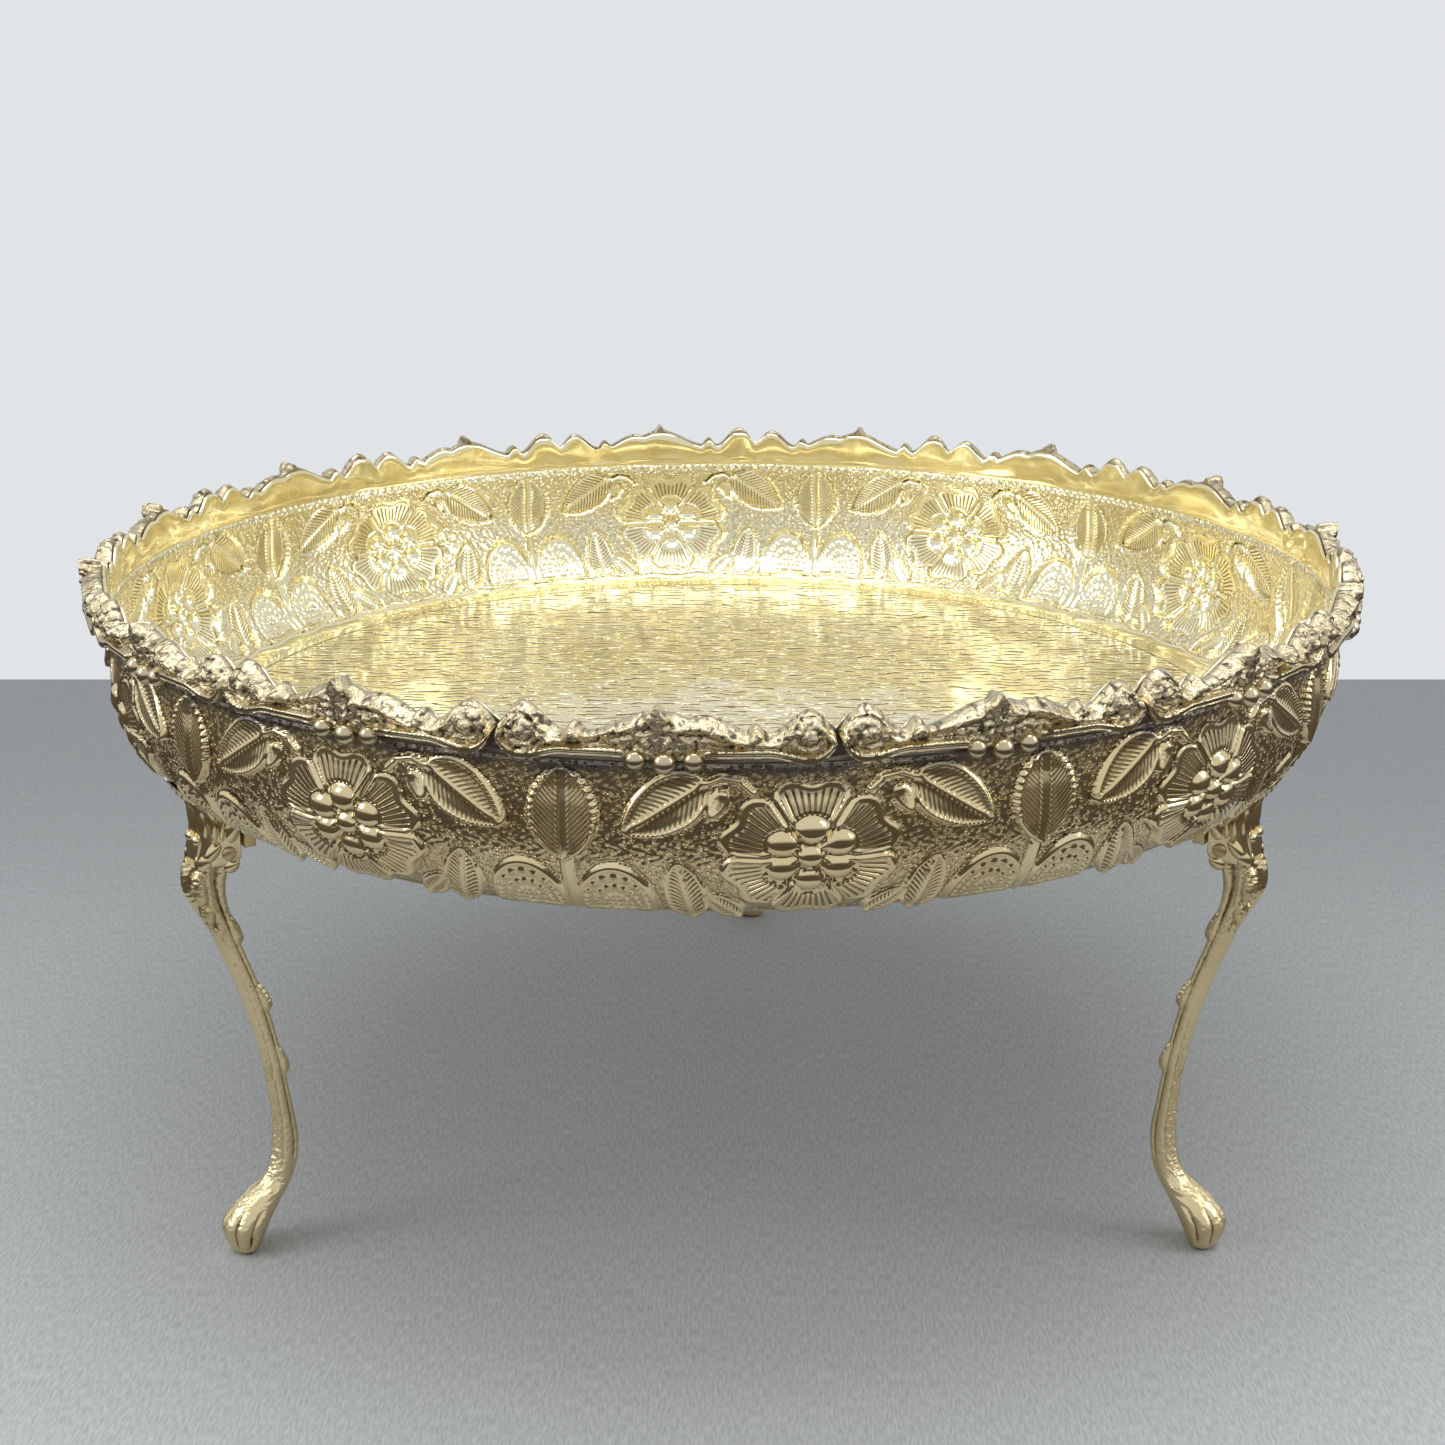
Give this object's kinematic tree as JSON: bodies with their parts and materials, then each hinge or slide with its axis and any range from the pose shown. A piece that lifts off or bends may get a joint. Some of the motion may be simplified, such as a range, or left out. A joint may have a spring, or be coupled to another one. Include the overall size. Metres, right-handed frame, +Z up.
{
  "type": "footed serving tray",
  "caption": "Round brass tray with an embossed wall, a scalloped cast border and folding cabriole legs.",
  "frame": {"origin": "on the ground, under the middle of the tray", "axes": "+Z up through the middle of the tray, -Y towards the front, +X to the right of someone who faces the front"},
  "size_m": [0.36, 0.36, 0.188],
  "materials": {
    "sheet_brass": "polished, raised from the back and chased",
    "cast_border": "cast, grained and worn bright on its high points",
    "cast_leg": "cast and buffed",
    "hinge_brass": "filed, satin",
    "pin_brass": "drawn rod with peened ends"
  },
  "bodies": {
    "tray": {"tray_pan": "sheet_brass", "border_segment_01": "cast_border", "border_segment_02": "cast_border", "border_segment_03": "cast_border", "border_segment_04": "cast_border", "border_segment_05": "cast_border", "border_segment_06": "cast_border", "border_segment_07": "cast_border", "border_segment_08": "cast_border", "border_segment_09": "cast_border", "border_segment_10": "cast_border", "border_segment_11": "cast_border", "border_segment_12": "cast_border", "border_segment_13": "cast_border", "border_segment_14": "cast_border", "border_segment_15": "cast_border", "bracket_left": "hinge_brass", "bracket_right": "hinge_brass", "bracket_back": "hinge_brass", "pin_left": "pin_brass", "pin_right": "pin_brass", "pin_back": "pin_brass"},
    "leg_left_body": {"leg_left": "cast_leg"},
    "leg_right_body": {"leg_right": "cast_leg"},
    "leg_back_body": {"leg_back": "cast_leg"}
  },
  "joints": [
    {"name": "leg_left_fold", "type": "hinge", "parent": "tray", "child": "leg_left_body", "pos_m": [-0.13145, -0.08214, 0.1193], "axis": [0.5299, -0.848, 0], "range_deg": [0, 84]},
    {"name": "leg_right_fold", "type": "hinge", "parent": "tray", "child": "leg_right_body", "pos_m": [0.13286, -0.07983, 0.1193], "axis": [0.515, 0.8572, 0], "range_deg": [0, 84]},
    {"name": "leg_back_fold", "type": "hinge", "parent": "tray", "child": "leg_back_body", "pos_m": [0.01081, 0.15462, 0.1193], "axis": [-0.9976, 0.0698, 0], "range_deg": [0, 84]}
  ]
}
